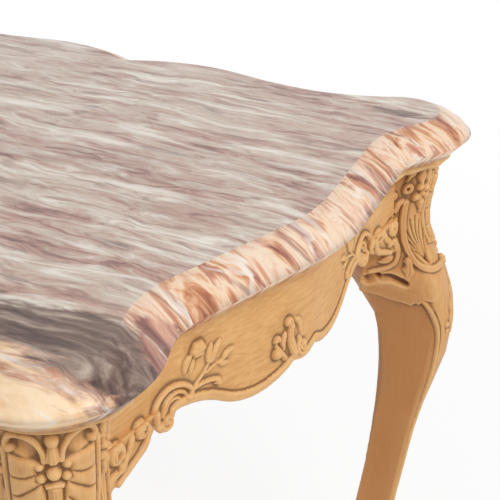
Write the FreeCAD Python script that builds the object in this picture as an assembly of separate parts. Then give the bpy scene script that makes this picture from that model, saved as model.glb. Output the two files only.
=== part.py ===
import FreeCAD, Part
import math
import os

V = FreeCAD.Vector

# A free-standing marble-topped table in the French rococo manner.
# Millimetres. X runs along the long side, Y across, Z up from the floor.

# Overall sizes
TABLE_HEIGHT = 768.0
TOP_LENGTH = 922.0              # over the two bowed ends
TOP_WIDTH = 747.0               # over the corner lobes
TOP_THICKNESS = 39.0

# Plan of the marble, taken at the nose of its moulded edge
LOBE_RADIUS = 79.5              # the round corner over each leg
LOBE_FLANK_RADIUS = 114.5       # convex run from the lobe towards the end cove
LOBE_FLANK_ANGLE = 28.0         # steepest slope between lobe and end cove
END_COVE_RADIUS = 90.5
END_FLANK_ANGLE = 11.0          # slope of the straight flanks of the end bow
END_BOW_RADIUS = 229.5
SIDE_COVE_ANGLE = 30.0          # steepest slope between lobe and side cove
SIDE_COVE_RADIUS = 170.5        # side cove, on the lobe's side
SIDE_SWELL_ANGLE = 14.0         # steepest slope between side cove and swell
SWELL_SHARE = 0.4375            # place of each swell between mid side and the side cove
SWELL_FULLNESS = 2.18           # radius of the swell over its distance from mid side

# Edge moulding of the marble
BEAK_UNDERCUT = 15.0            # level distance from nose to the bottom edge
BEAK_HEIGHT = 16.0              # nose above the bottom
THUMB_REACH = 35.0              # level distance from nose to top rim
THUMB_START_ANGLE = 25.0        # the thumb is a part of an ellipse, from above the nose
THUMB_CREASE_ANGLE = 65.0       # to short of level, which leaves a rim line
THUMB_BANDS = 3

# Frieze rails under the marble
RAIL_INSET = 39.5               # face of the rails inside the nose of the marble
RAIL_THICKNESS = 24.0
SCALLOP_LOW = 118.0             # depth of the rails at the scallops
SCALLOP_RISE = 31.0             # from the scallop's foot up to its shoulder
SCALLOP_SHARE = 0.47            # part of the scallop's sweep that bulges downwards
TONGUE_DROP = 105.0             # depth beside the middle ornament
TONGUE_SWELL = 5.0
SCALLOP_PLACE_SHARE = 0.264     # lowest point of a scallop, from mid rail to the post
SHOULDER_PLACE_SHARE = 0.68
VOLUTE_RADIUS = 12.0            # scroll that ends each scallop
EAR_DROP = 78.0                 # depth of the rails over the knee brackets

# Tenons of the rails in the legs
TENON_THICKNESS = 10.0
TENON_LENGTH = 22.0
TENON_TOP = 16.0                # below the top of the rail
TENON_HEIGHT = 52.0
TENON_ROOT = 48.0               # length that is one with the rail
TENON_CLEARANCE = 0.2

# Legs: front, edge and back lie outwards on the diagonal from the leg's own middle line
LEG_SHIFT = 6.0                 # middle line beside that of the lobe, towards the long side
CAP_RADIUS = 57.0               # lip that follows the lobe of the marble
CAP_HEIGHT = 8.0
CAP_HALF_WIDTH = 51.0
CAP_BACK = 25.0
LIP_FRONT = 52.0                # front of the post right under the marble
NECK_DROP = 86.0                # depths are taken from the top of the frame
NECK_FRONT = 39.5
POST_DROP = 125.0               # depth of the straight-sided post
POST_FRONT = 49.0
POST_EDGE = 13.0                # where the rounded front meets the flat side
POST_BACK = 45.0
POST_HALF_WIDTH = 40.0
HAUNCH_DROP = 150.0             # the back starts to curve forwards here
KNEE_DROP = 226.0
KNEE_FRONT = 82.0
KNEE_EDGE = 45.0
KNEE_BACK = 10.5
KNEE_HALF_WIDTH = 41.0
CALF_DROP = 290.0               # the back is foremost here
CALF_BACK = -4.0
SHANK_SLOPE = 0.66              # how fast the sides draw in towards the back, below the knee
SHIN_DROP = 390.0
SHIN_FRONT = 39.0
SHIN_EDGE = 25.0
SHIN_HALF_WIDTH = 27.0
ANKLE_HEIGHT = 150.0
ANKLE_FRONT = 11.0
ANKLE_EDGE = 5.0
ANKLE_BACK = 36.0
ANKLE_SLOPE = 0.36
ANKLE_HALF_WIDTH = 19.0
FOOT_FRONT = 25.0
FOOT_EDGE = 17.0
FOOT_BACK = 21.0
FOOT_HALF_WIDTH = 22.0
TOE_HEIGHT = 24.0               # middle of the scroll on the foot
TOE_REACH = 36.0
TOE_RADIUS = 16.0
POST_BANDS = 5
KNEE_BANDS = 12
SHIN_BANDS = 9

# Knee brackets
BRACKET_PROUD = 3.0
BRACKET_ROUND = 21.0            # scroll at the rail end of the bracket
BRACKET_TIP_DROP = 122.0        # where the bracket runs out on the leg

# Inside the frame
BLOCK_WIDTH = 30.0              # corner block, along the diagonal
BLOCK_TOP = 8.0
BLOCK_HEIGHT = 50.0
BEARER_WIDTH = 45.0
BEARER_HEIGHT = 24.0
BEARER_HOUSING = 8.0            # length let into each side rail

FRAME_TOP = TABLE_HEIGHT - TOP_THICKNESS
HALF_LENGTH = TOP_LENGTH / 2
HALF_WIDTH = TOP_WIDTH / 2
DIAGONAL = math.sqrt(0.5)
REACH = TOP_LENGTH + TOP_WIDTH  # longer than any cut needs to be


def radians(degrees):
    return degrees * math.pi / 180


class Walk:
    """A path of lines and arcs that leaves each step in the direction it ended in."""

    def __init__(self, x, y, heading, inset):
        self.x = x
        self.y = y
        self.heading = radians(heading)
        self.inset = inset
        self.steps = []

    def line(self, length):
        start = (self.x, self.y)
        self.x += length * math.cos(self.heading)
        self.y += length * math.sin(self.heading)
        self.steps.append((start, (self.x, self.y)))

    def arc(self, radius, turn):
        """Left turns are the outward bulges, so an inset path has them smaller."""
        side = 1 if turn > 0 else -1
        true_radius = radius - side * self.inset
        centre_x = self.x - side * true_radius * math.sin(self.heading)
        centre_y = self.y + side * true_radius * math.cos(self.heading)
        start = (self.x, self.y)

        def at(angle):
            heading = self.heading + angle
            return (centre_x + side * true_radius * math.sin(heading),
                    centre_y - side * true_radius * math.cos(heading))

        middle = at(radians(turn) / 2)
        self.x, self.y = at(radians(turn))
        self.heading += radians(turn)
        self.steps.append((start, middle, (self.x, self.y)))


def end_half(inset):
    """Half of a bowed end, from its middle to the bottom of the cove."""
    walk = Walk(HALF_LENGTH - inset, 0.0, 90.0, inset)
    walk.arc(END_BOW_RADIUS, END_FLANK_ANGLE)
    walk.line(END_FLANK_LENGTH)
    walk.arc(END_COVE_RADIUS, -END_FLANK_ANGLE)
    return walk


def side_half(walk):
    """Half of a long side, from the bottom of the cove to the cusp where two swells meet."""
    walk.arc(SWELL_COVE_RADIUS, -SIDE_SWELL_ANGLE)
    cusp_turn = math.asin(SWELL_PLACE / (SIDE_SWELL_RADIUS - walk.inset))
    walk.arc(SIDE_SWELL_RADIUS, SIDE_SWELL_ANGLE + math.degrees(cusp_turn))
    return walk


def turn_run(radii, angle):
    """Advance and sideways shift of arcs that turn by one angle."""
    return sum(radii) * math.sin(radians(angle)), sum(radii) * (1 - math.cos(radians(angle)))


# Plan points that follow from the sizes above
LOBE_RUN, LOBE_STEP = turn_run((LOBE_FLANK_RADIUS, END_COVE_RADIUS), LOBE_FLANK_ANGLE)
LOBE_Y = HALF_WIDTH - LOBE_RADIUS
END_COVE_Y = LOBE_Y - LOBE_RUN
BOW_RUN, BOW_STEP = turn_run((END_BOW_RADIUS, END_COVE_RADIUS), END_FLANK_ANGLE)
END_FLANK_LENGTH = (END_COVE_Y - BOW_RUN) / math.cos(radians(END_FLANK_ANGLE))
END_COVE_X = HALF_LENGTH - BOW_STEP - END_FLANK_LENGTH * math.sin(radians(END_FLANK_ANGLE))
LOBE_X = END_COVE_X + LOBE_STEP - LOBE_RADIUS
LEG_X = LOBE_X - LEG_SHIFT * DIAGONAL
LEG_Y = LOBE_Y + LEG_SHIFT * DIAGONAL
SIDE_RUN, SIDE_STEP = turn_run((LOBE_RADIUS, SIDE_COVE_RADIUS), SIDE_COVE_ANGLE)
SIDE_COVE_X = LOBE_X - SIDE_RUN
SIDE_COVE_Y = HALF_WIDTH - SIDE_STEP
SWELL_PLACE = SWELL_SHARE * SIDE_COVE_X
SIDE_SWELL_RADIUS = SWELL_FULLNESS * SWELL_PLACE
SWELL_RADII = (SIDE_COVE_X - SWELL_PLACE) / math.sin(radians(SIDE_SWELL_ANGLE))
SWELL_COVE_RADIUS = SWELL_RADII - SIDE_SWELL_RADIUS
SWELL_STEP = turn_run((SWELL_RADII,), SIDE_SWELL_ANGLE)[1]
END_FACE = END_COVE_X - RAIL_INSET
SIDE_FACE = SIDE_COVE_Y - RAIL_INSET


def mirrored(steps, sign_x, sign_y):
    """The steps in another quarter, run backwards where the mirror turns them round."""
    moved = [tuple((sign_x * x, sign_y * y) for x, y in step) for step in steps]
    if sign_x * sign_y < 0:
        moved = [step[::-1] for step in moved[::-1]]
    return moved


def wire(steps, place):
    """A wire of lines and three-point arcs, each point put in space by place(u, v)."""
    edges = []
    for step in steps:
        points = [place(u, v) for u, v in step]
        if len(points) == 2:
            edges.append(Part.LineSegment(*points).toShape())
        else:
            edges.append(Part.Arc(*points).toShape())
    return Part.Wire(edges)


def level(z):
    return lambda x, y: V(x, y, z)


def prism(steps, place, direction):
    return Part.Face(wire(steps, place)).extrude(direction)


def box(low, high):
    size = [high[axis] - low[axis] for axis in range(3)]
    return Part.makeBox(*size, V(*low))


def drilled(shape, tools):
    for tool in tools:
        shape = shape.cut(tool)
    return shape


# Marble top

def marble_outline(inset, z):
    walk = end_half(inset)
    walk.arc(END_COVE_RADIUS, -LOBE_FLANK_ANGLE)
    walk.arc(LOBE_FLANK_RADIUS, LOBE_FLANK_ANGLE)
    walk.arc(LOBE_RADIUS, 90 + SIDE_COVE_ANGLE)
    walk.arc(SIDE_COVE_RADIUS, -SIDE_COVE_ANGLE)
    side_half(walk)
    quarters = [(1, 1), (-1, 1), (-1, -1), (1, -1)]
    steps = [step for signs in quarters for step in mirrored(walk.steps, *signs)]
    return wire(steps, level(z))


def marble_top():
    """Bands between outlines: an undercut beak below the nose, a thumb moulding above it."""
    sections = [marble_outline(BEAK_UNDERCUT, FRAME_TOP)]
    first = radians(THUMB_START_ANGLE)
    last = radians(THUMB_CREASE_ANGLE)
    thumb_height = TOP_THICKNESS - BEAK_HEIGHT
    for step in range(THUMB_BANDS + 1):
        angle = first + (last - first) * step / THUMB_BANDS
        run = (math.cos(first) - math.cos(angle)) / (math.cos(first) - math.cos(last))
        rise = (math.sin(angle) - math.sin(first)) / (math.sin(last) - math.sin(first))
        z = FRAME_TOP + BEAK_HEIGHT + thumb_height * rise
        sections.append(marble_outline(THUMB_REACH * run, z))
    return Part.makeLoft(sections, True, True)


# Legs

def in_corner(shape, sign_x, sign_y, x=LEG_X, y=LEG_Y):
    """Puts a shape made about a leg's middle line, with +X outwards, into its corner."""
    placed = shape.copy()
    placed.rotate(V(0, 0, 0), V(0, 0, 1), math.degrees(math.atan2(sign_y, sign_x)))
    placed.translate(V(sign_x * x, sign_y * y, 0))
    return placed


def leg_section(z, front, edge, back, half, back_half):
    """A rounded front between two edges, with sides that may draw in to a narrower back."""
    steps = [
        ((back, -back_half), (edge, -half)),
        ((edge, -half), (front, 0.0), (edge, half)),
        ((edge, half), (back, back_half)),
        ((back, back_half), (back, -back_half)),
    ]
    return wire(steps, level(z))


def through(points, place):
    """A smooth curve through (place, value) points that never swings past them."""
    slopes = [(after[1] - before[1]) / (after[0] - before[0])
              for before, after in zip(points, points[1:])]
    tangents = [0.0]
    for before, after in zip(slopes, slopes[1:]):
        turning = before * after <= 0
        tangents.append(0.0 if turning else 2 * before * after / (before + after))
    tangents.append(0.0)
    index = max(i for i in range(len(slopes)) if place >= points[i][0] or i == 0)
    start, value = points[index]
    span = points[index + 1][0] - start
    share = (place - start) / span
    ease = share * share * (3 - 2 * share)
    leaving = tangents[index] * span * share * (1 - share) ** 2
    arriving = tangents[index + 1] * span * share ** 2 * (1 - share)
    return value + (points[index + 1][1] - value) * ease + leaving - arriving


def leg_profile(drop):
    """Front, edge, back and the half widths at edge and back, at one depth."""
    ankle_drop = FRAME_TOP - ANKLE_HEIGHT
    front = through([(0.0, LIP_FRONT), (NECK_DROP, NECK_FRONT), (POST_DROP, POST_FRONT),
                     (KNEE_DROP, KNEE_FRONT), (SHIN_DROP, SHIN_FRONT),
                     (ankle_drop, ANKLE_FRONT), (FRAME_TOP, FOOT_FRONT)], drop)
    edge = through([(0.0, 0.0), (NECK_DROP, 0.0), (POST_DROP, POST_EDGE),
                    (KNEE_DROP, KNEE_EDGE), (SHIN_DROP, SHIN_EDGE),
                    (ankle_drop, ANKLE_EDGE), (FRAME_TOP, FOOT_EDGE)], drop)
    back = through([(0.0, -POST_BACK), (HAUNCH_DROP, -POST_BACK), (KNEE_DROP, -KNEE_BACK),
                    (CALF_DROP, CALF_BACK), (ankle_drop, -ANKLE_BACK),
                    (FRAME_TOP, -FOOT_BACK)], drop)
    half = through([(0.0, POST_HALF_WIDTH), (POST_DROP, POST_HALF_WIDTH),
                    (KNEE_DROP, KNEE_HALF_WIDTH), (SHIN_DROP, SHIN_HALF_WIDTH),
                    (ankle_drop, ANKLE_HALF_WIDTH), (FRAME_TOP, FOOT_HALF_WIDTH)], drop)
    slope = through([(0.0, 0.0), (POST_DROP, 0.0), (KNEE_DROP, SHANK_SLOPE), (SHIN_DROP, SHANK_SLOPE),
                     (ankle_drop, ANKLE_SLOPE), (FRAME_TOP, ANKLE_SLOPE)], drop)
    return front, edge, back, half, half - slope * (edge - back)


def leg_run(top, bottom, bands):
    drops = [top + (bottom - top) * step / bands for step in range(bands + 1)]
    sections = [leg_section(FRAME_TOP - drop, *leg_profile(drop)) for drop in drops]
    return Part.makeLoft(sections, True, True)


def leg_blank():
    """A straight-sided post on a cabriole shank with a scrolled toe."""
    post = leg_run(0.0, POST_DROP, POST_BANDS)
    knee = leg_run(POST_DROP, SHIN_DROP, KNEE_BANDS)
    shin = leg_run(SHIN_DROP, FRAME_TOP, SHIN_BANDS)
    toe = Part.makeCylinder(TOE_RADIUS, 2 * FOOT_HALF_WIDTH,
                            V(TOE_REACH - TOE_RADIUS, -FOOT_HALF_WIDTH, TOE_HEIGHT), V(0, 1, 0))
    return post.fuse(knee).fuse(shin).fuse(toe)


def leg_cap(sign_x, sign_y):
    """The lip on top of a leg, round the middle of the lobe."""
    base = FRAME_TOP - CAP_HEIGHT
    disc = Part.makeCylinder(CAP_RADIUS, CAP_HEIGHT, V(0, 0, base))
    keep = box((-CAP_BACK, -CAP_HALF_WIDTH, base), (CAP_RADIUS, CAP_HALF_WIDTH, FRAME_TOP))
    return in_corner(disc.common(keep), sign_x, sign_y, LOBE_X, LOBE_Y)


def post_room():
    """The space between a post's two side faces, which rails and brackets stop at."""
    return box((-REACH, -POST_HALF_WIDTH, -REACH), (REACH, POST_HALF_WIDTH, REACH))


# Frieze rails

def end_plan(sign):
    outer = end_half(RAIL_INSET)
    outer.line(LOBE_Y - outer.y)
    inner = end_half(RAIL_INSET + RAIL_THICKNESS)
    inner.line(LOBE_Y - inner.y)
    return rail_plan(outer.steps, inner.steps, (1, -1), sign, 1)


def side_plan(sign):
    chains = []
    for inset in (RAIL_INSET, RAIL_INSET + RAIL_THICKNESS):
        walk = Walk(LOBE_X, SIDE_COVE_Y - inset, 180.0, inset)
        walk.line(LOBE_X - SIDE_COVE_X)
        chains.append([step[::-1] for step in side_half(walk).steps[::-1]])
    return rail_plan(chains[0], chains[1], (-1, 1), 1, sign)


def rail_plan(outer, inner, flip, sign_x, sign_y):
    """Closes two half paths that start at mid rail, and their mirror images, into a plan."""
    def other(steps):
        return [tuple((flip[0] * x, flip[1] * y) for x, y in step[::-1]) for step in steps[::-1]]

    back = [step[::-1] for step in inner[::-1]]
    back += [tuple((flip[0] * x, flip[1] * y) for x, y in step) for step in inner]
    front = other(outer) + outer
    steps = front + [(front[-1][-1], back[0][0])] + back + [(back[-1][-1], front[0][0])]
    return [tuple((sign_x * x, sign_y * y) for x, y in step) for step in steps]


def volute_end(along_x):
    """Where the scroll that ends a scallop meets the knee bracket, from mid rail."""
    return SHOULDER_PLACE_SHARE * joint_place(along_x)[1] + 2 * VOLUTE_RADIUS


def scallop_edge(along_x, end_place):
    """Half of a rail's lower edge, as (distance from the middle, drop) steps."""
    low_place = SCALLOP_PLACE_SHARE * joint_place(along_x)[1]
    shoulder_place = SHOULDER_PLACE_SHARE * joint_place(along_x)[1]
    sweep = shoulder_place - low_place
    angle = 2 * math.atan(SCALLOP_RISE / sweep)
    radius = SCALLOP_SHARE * sweep / math.sin(angle)
    hollow = (1 - SCALLOP_SHARE) * sweep / math.sin(angle)
    tongue_angle = math.acos(1 - (SCALLOP_LOW - TONGUE_DROP) / radius)
    tongue = low_place - radius * math.sin(tongue_angle)

    def bulge(turn):
        return (low_place + radius * math.sin(turn),
                SCALLOP_LOW - radius * (1 - math.cos(turn)))

    shoulder_drop = SCALLOP_LOW - SCALLOP_RISE

    def rise(turn):
        return (shoulder_place - hollow * math.sin(turn),
                shoulder_drop + hollow * (1 - math.cos(turn)))

    ear = volute_end(along_x)
    crest = TONGUE_DROP + TONGUE_SWELL
    return [
        ((0.0, crest), (tongue / 2, crest - TONGUE_SWELL / 4), (tongue, TONGUE_DROP)),
        ((tongue, TONGUE_DROP), bulge(0.0), bulge(angle)),
        (bulge(angle), rise(angle / 2), (shoulder_place, shoulder_drop)),
        ((shoulder_place, shoulder_drop),
         (shoulder_place + VOLUTE_RADIUS, shoulder_drop + VOLUTE_RADIUS),
         (ear, shoulder_drop)),
        ((ear, shoulder_drop), (ear, EAR_DROP)),
        ((ear, EAR_DROP), (end_place, EAR_DROP)),
    ]


def elevation(half_edge, end_place):
    """The rail seen square on, from its scalloped edge up to the top of the frame."""
    left = [tuple((-u, drop) for u, drop in step[::-1]) for step in half_edge[::-1]]
    steps = left + half_edge
    steps.append(((end_place, EAR_DROP), (end_place, 0.0)))
    steps.append(((end_place, 0.0), (-end_place, 0.0)))
    steps.append(((-end_place, 0.0), (-end_place, EAR_DROP)))
    return steps


def rail(along_x, sign):
    """A serpentine rail with a scalloped lower edge, tenoned at both ends."""
    end_place = LOBE_X if along_x else LOBE_Y
    if along_x:
        plan = side_plan(sign)
        across = V(0, 2 * REACH, 0)
        ends = [(1, sign), (-1, sign)]
    else:
        plan = end_plan(sign)
        across = V(2 * REACH, 0, 0)
        ends = [(sign, 1), (sign, -1)]

    def place(u, drop):
        return V(u, -REACH, FRAME_TOP - drop) if along_x else V(-REACH, u, FRAME_TOP - drop)

    outline = prism(elevation(scallop_edge(along_x, end_place), end_place), place, across)
    whole = prism(plan, level(0.0), V(0, 0, FRAME_TOP)).common(outline)
    for end in ends:
        room = in_corner(post_room(), *end)
        stub = tenon(along_x, *end).common(room)
        whole = whole.cut(room).fuse(stub)
    return whole.removeSplitter()


def tenon(along_x, sign_x, sign_y, clearance=0.0):
    """The tenon of one rail end. It runs along Y on an end rail and along X on a side rail."""
    middle = RAIL_THICKNESS / 2
    half = TENON_THICKNESS / 2 + clearance
    low = FRAME_TOP - TENON_TOP - TENON_HEIGHT - clearance
    high = FRAME_TOP - TENON_TOP + clearance
    centre, shoulder = joint_place(along_x)
    start = shoulder - TENON_ROOT
    stop = shoulder + TENON_LENGTH + clearance
    if along_x:
        corners = ((start, centre - half), (stop, centre + half))
    else:
        corners = ((centre - half, start), (centre + half, stop))
    xs = sorted(sign_x * corner[0] for corner in corners)
    ys = sorted(sign_y * corner[1] for corner in corners)
    return box((xs[0], ys[0], low), (xs[1], ys[1], high))


def joint_place(along_x):
    """Middle of a rail's thickness at its end, and where that line meets the post."""
    across = POST_HALF_WIDTH / DIAGONAL
    if along_x:
        centre = SIDE_FACE - RAIL_THICKNESS / 2
        return centre, LEG_X + (centre - LEG_Y) - across
    centre = END_FACE - RAIL_THICKNESS / 2
    return centre, LEG_Y + (centre - LEG_X) - across


# Knee brackets

def bracket(along_x, sign_x, sign_y):
    """A scrolled block in the angle between a leg and the lower edge of a rail."""
    centre, shoulder = joint_place(along_x)
    start = volute_end(along_x)
    face = centre + RAIL_THICKNESS / 2 + BRACKET_PROUD
    back = centre - RAIL_THICKNESS / 2
    end = shoulder + RAIL_THICKNESS
    lean = BRACKET_ROUND * DIAGONAL
    scroll_side = (start + BRACKET_ROUND - lean, EAR_DROP + lean)
    scroll_low = (start + BRACKET_ROUND, EAR_DROP + BRACKET_ROUND)
    tip = (end, BRACKET_TIP_DROP)
    steps = [
        ((start, EAR_DROP), scroll_side, scroll_low),
        (scroll_low, tip),
        (tip, (end, EAR_DROP)),
        ((end, EAR_DROP), (start, EAR_DROP)),
    ]
    if along_x:
        def place_point(u, drop):
            return V(sign_x * u, sign_y * back, FRAME_TOP - drop)
        solid = prism(steps, place_point, V(0, sign_y * (face - back), 0))
    else:
        def place_point(u, drop):
            return V(sign_x * back, sign_y * u, FRAME_TOP - drop)
        solid = prism(steps, place_point, V(sign_x * (face - back), 0, 0))
    return solid.cut(in_corner(post_room(), sign_x, sign_y))


# Corner blocks, glued in the angles

def corner_block(sign_x, sign_y):
    """Fills the angle between two rails and the flat back of a leg."""
    rail_x = END_FACE - RAIL_THICKNESS
    rail_y = SIDE_FACE - RAIL_THICKNESS
    back_sum = LEG_X + LEG_Y - POST_BACK / DIAGONAL
    front_sum = back_sum - BLOCK_WIDTH / DIAGONAL
    corners = [
        (rail_x, back_sum - rail_x),
        (back_sum - rail_y, rail_y),
        (front_sum - rail_y, rail_y),
        (rail_x, front_sum - rail_x),
    ]
    corners = [(sign_x * x, sign_y * y) for x, y in corners]
    steps = list(zip(corners, corners[1:] + corners[:1]))
    return prism(steps, level(FRAME_TOP - BLOCK_TOP - BLOCK_HEIGHT), V(0, 0, BLOCK_HEIGHT))


# Cross bearers

def side_back(place):
    """Depth from the middle of the table to the inner face of a side rail at one place."""
    inset = RAIL_INSET + RAIL_THICKNESS
    return math.sqrt((SIDE_SWELL_RADIUS - inset) ** 2 - (place - SWELL_PLACE) ** 2) + (
        SIDE_COVE_Y + SWELL_STEP - SIDE_SWELL_RADIUS)


def cross_bearer(sign_x):
    shallow = min(side_back(SWELL_PLACE - BEARER_WIDTH / 2), side_back(SWELL_PLACE + BEARER_WIDTH / 2))
    reach = shallow + BEARER_HOUSING
    xs = sorted((sign_x * (SWELL_PLACE - BEARER_WIDTH / 2), sign_x * (SWELL_PLACE + BEARER_WIDTH / 2)))
    return box((xs[0], -reach, FRAME_TOP - BEARER_HEIGHT), (xs[1], reach, FRAME_TOP))


def export(shape, name):
    shape.exportStep("parts/" + name + ".step")


def side_name(sign, negative, positive):
    return positive if sign > 0 else negative


def main():
    os.makedirs("parts", exist_ok=True)
    signs = (1, -1)
    corners = [(sign_x, sign_y) for sign_x in signs for sign_y in signs]
    blank = leg_blank()
    caps = []
    for sign_x, sign_y in corners:
        corner = side_name(sign_y, "front", "rear") + "_" + side_name(sign_x, "left", "right")
        cap = leg_cap(sign_x, sign_y)
        leg = in_corner(blank, sign_x, sign_y).fuse(cap).removeSplitter()
        mortises = [tenon(along_x, sign_x, sign_y, TENON_CLEARANCE) for along_x in (True, False)]
        export(drilled(leg, mortises), "leg_" + corner)
        export(corner_block(sign_x, sign_y), "corner_block_" + corner)
        export(bracket(False, sign_x, sign_y), "knee_bracket_end_" + corner)
        export(bracket(True, sign_x, sign_y), "knee_bracket_side_" + corner)
        caps.append(cap)

    bearers = [cross_bearer(sign) for sign in signs]
    for sign, bearer in zip(signs, bearers):
        end = side_name(sign, "left", "right")
        export(drilled(rail(False, sign), caps), "rail_end_" + end)
        export(drilled(rail(True, sign), caps + bearers), "rail_side_" + side_name(sign, "front", "rear"))
        export(bearer, "cross_bearer_" + end)
    export(marble_top(), "marble_top")


main()
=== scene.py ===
"""Serpentine marble slab on a carved, limed wooden table base with cabriole legs."""
import math

import bmesh
import bpy
import numpy as np
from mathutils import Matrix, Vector


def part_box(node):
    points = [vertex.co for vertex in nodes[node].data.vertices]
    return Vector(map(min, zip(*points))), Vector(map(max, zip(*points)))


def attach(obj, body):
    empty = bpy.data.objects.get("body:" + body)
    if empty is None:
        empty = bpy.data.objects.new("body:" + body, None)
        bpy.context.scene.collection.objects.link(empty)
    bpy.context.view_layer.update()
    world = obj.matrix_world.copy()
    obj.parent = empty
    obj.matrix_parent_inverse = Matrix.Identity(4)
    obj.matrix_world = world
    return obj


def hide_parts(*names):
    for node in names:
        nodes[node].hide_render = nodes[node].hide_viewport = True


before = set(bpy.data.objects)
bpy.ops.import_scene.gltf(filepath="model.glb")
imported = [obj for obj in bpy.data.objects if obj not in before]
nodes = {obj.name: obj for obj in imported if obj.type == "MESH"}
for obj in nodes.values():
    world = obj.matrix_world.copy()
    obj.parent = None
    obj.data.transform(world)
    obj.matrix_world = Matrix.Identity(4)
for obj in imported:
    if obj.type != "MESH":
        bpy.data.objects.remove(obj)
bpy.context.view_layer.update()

scene = bpy.context.scene

MM = 0.001
FRAME_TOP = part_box("marble_top")[0].z
CORNERS = {"front_right": (1, -1), "front_left": (-1, -1), "rear_right": (1, 1), "rear_left": (-1, 1)}

# Carving blanks, in millimetres: even cells fine enough for the smallest bead, thinned where they lie flat
WELD_GAP = 0.01
LEG_CELL = 1.1
RAIL_CELL = 1.1
BRACKET_CELL = 0.9
LEG_EASING = 45                 # rounds of smoothing, which take out the facets
APRON_EASING = 14
CRISP_ROUNDS = 2                # where an edge stays crisp
LEG_KEPT = 0.27                 # share of the faces left after thinning
RAIL_KEPT = 0.3
BRACKET_KEPT = 0.4
CARVED_CARE = 1e-5              # added cost of thinning a carved edge, so that plain faces go first
CUT_ROUNDS = 6                  # reach of the dark wax in cuts, in rounds of smoothing
CUT_WEIGHT = 0.6
HOLLOW_ROUNDS = 40              # and of painted shade in wide hollows
HOLLOW_WEIGHT = 0.3
CARVED_DIP = 0.06               # a face that dips or stands by this much counts as carved


def linear(colour):
    """An sRGB hex colour as linear RGBA."""
    parts = [int(colour[i:i + 2], 16) / 255 for i in (1, 3, 5)]
    return [p / 12.92 if p <= 0.04045 else ((p + 0.055) / 1.055) ** 2.4 for p in parts] + [1.0]


def add(tree, kind, inputs=None, stops=None, **settings):
    """Adds one shader node with its settings, and sets or links its sockets."""
    node = tree.nodes.new(kind)
    for name, value in settings.items():
        setattr(node, name, value)
    if stops:
        elements = node.color_ramp.elements
        while len(elements) < len(stops):
            elements.new(1.0)
        for element, (place, colour) in zip(elements, stops):
            element.position = place
            element.color = linear(colour)
    for name, value in (inputs or {}).items():
        if isinstance(value, bpy.types.NodeSocket):
            tree.links.new(value, node.inputs[name])
        else:
            node.inputs[name].default_value = value
    return node


def new_material(name):
    """A material without nodes, and its node tree."""
    material = bpy.data.materials.new(name)
    material.use_nodes = True
    material.node_tree.nodes.clear()
    return material, material.node_tree


# Materials, with widths in millimetres
GRAIN_WIDTH = 3.0               # growth rings on the carved faces
GRAIN_STRETCH = 0.07            # grain runs about fourteen times as long as wide
PORE_WIDTH = 0.9                # real pores are too fine to show, so these are about four times as wide
TONE_WIDTH = 90.0               # patches of heavier and lighter liming
TONE_SHARE = 0.45
WAX_AND_SHADE_SHARE = 0.75                # of dark wax in the deepest cuts, and of painted shade in the widest hollows
RUB_SHARE = 0.4                 # of paler wood on worn ridges
WAVE_PERIOD = 0.314             # of the wave texture at a scale of 1
SAW_SPACING = 13.816            # real saw marks are too fine to show, so these are about six times as wide


def board_space(tree, along):
    """Object space, and the same drawn out along the grain."""
    place = add(tree, "ShaderNodeTexCoord").outputs["Object"]
    stretch = [GRAIN_STRETCH if axis == along else 1.0 for axis in "XYZ"]
    return place, add(tree, "ShaderNodeMapping", {"Vector": place, "Scale": stretch}).outputs["Vector"]


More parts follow.
